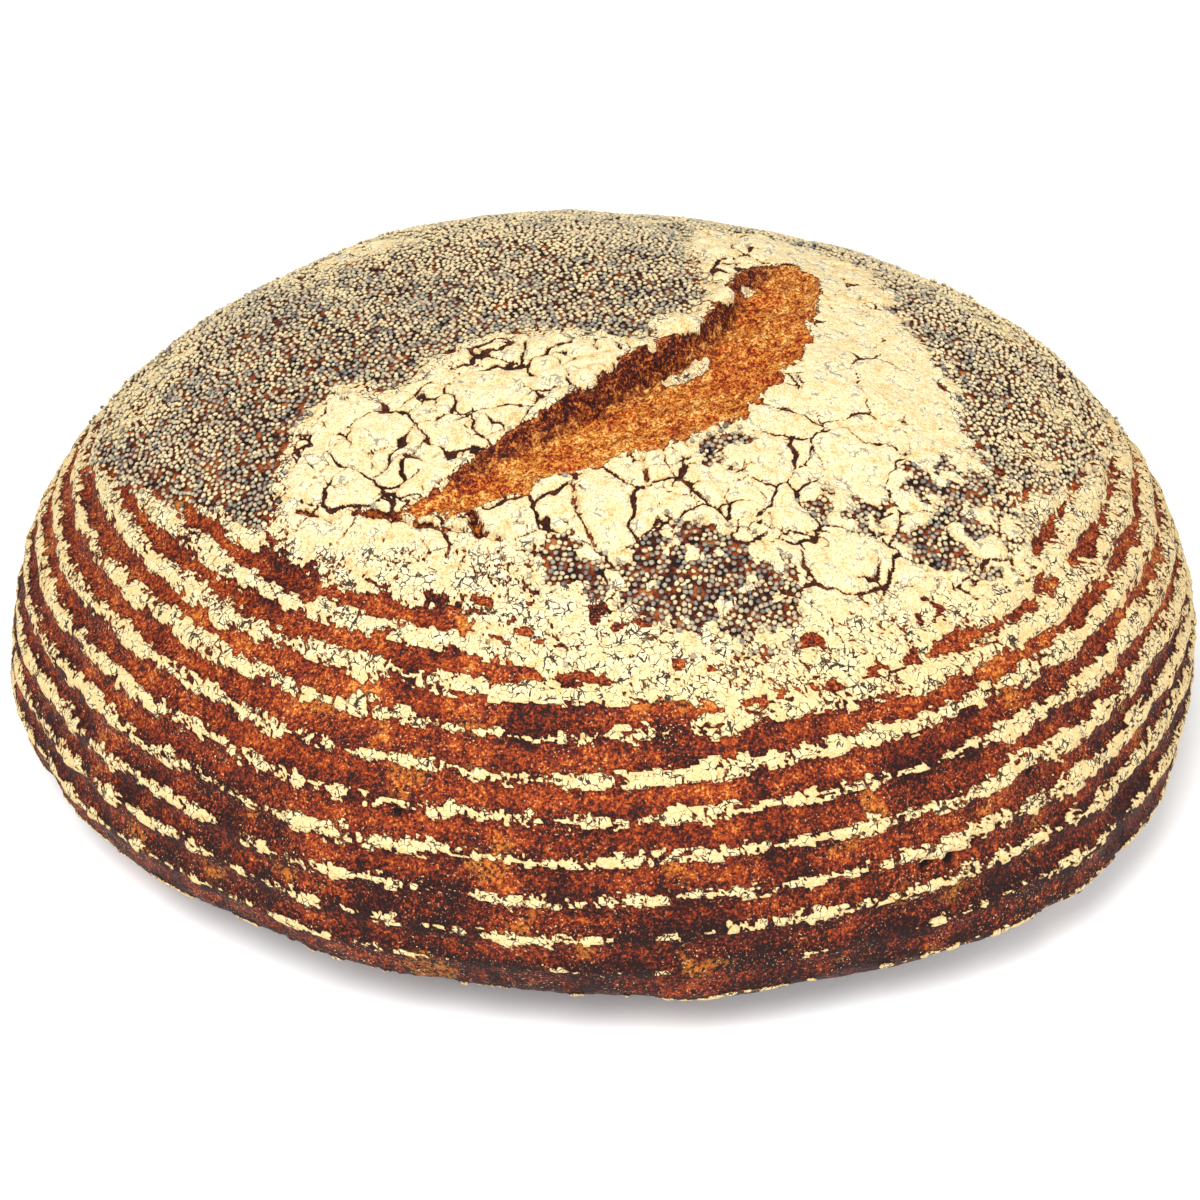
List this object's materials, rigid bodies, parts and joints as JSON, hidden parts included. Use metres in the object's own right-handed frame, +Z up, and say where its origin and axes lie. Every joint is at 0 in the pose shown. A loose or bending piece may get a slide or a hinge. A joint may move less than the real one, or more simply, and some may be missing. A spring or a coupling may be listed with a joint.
{
  "type": "rye sourdough loaf",
  "caption": "Round free-standing rye bread loaf with a domed crown, cane-basket ridges round its sides, a burst tear across the top and a flat base.",
  "frame": {"origin": "centre of the loaf's footprint box, on the plane that the flat base rests on", "axes": "+Z up from the base to the crown, -Y towards the front, where the seeded flour patch is, +X towards the side that the tear leans to"},
  "size_m": [0.2484, 0.2464, 0.0957],
  "materials": {
    "crust": "dry matt baked crust, orange-brown above and dark brown below, with fine blisters, baked-on cream flour in cracked plates and rings, and an orange torn crumb",
    "poppy_seeds": "blue-grey poppy seeds with a dull sheen, dusted with flour"
  },
  "bodies": {
    "root": {"loaf": "crust"}
  },
  "joints": []
}
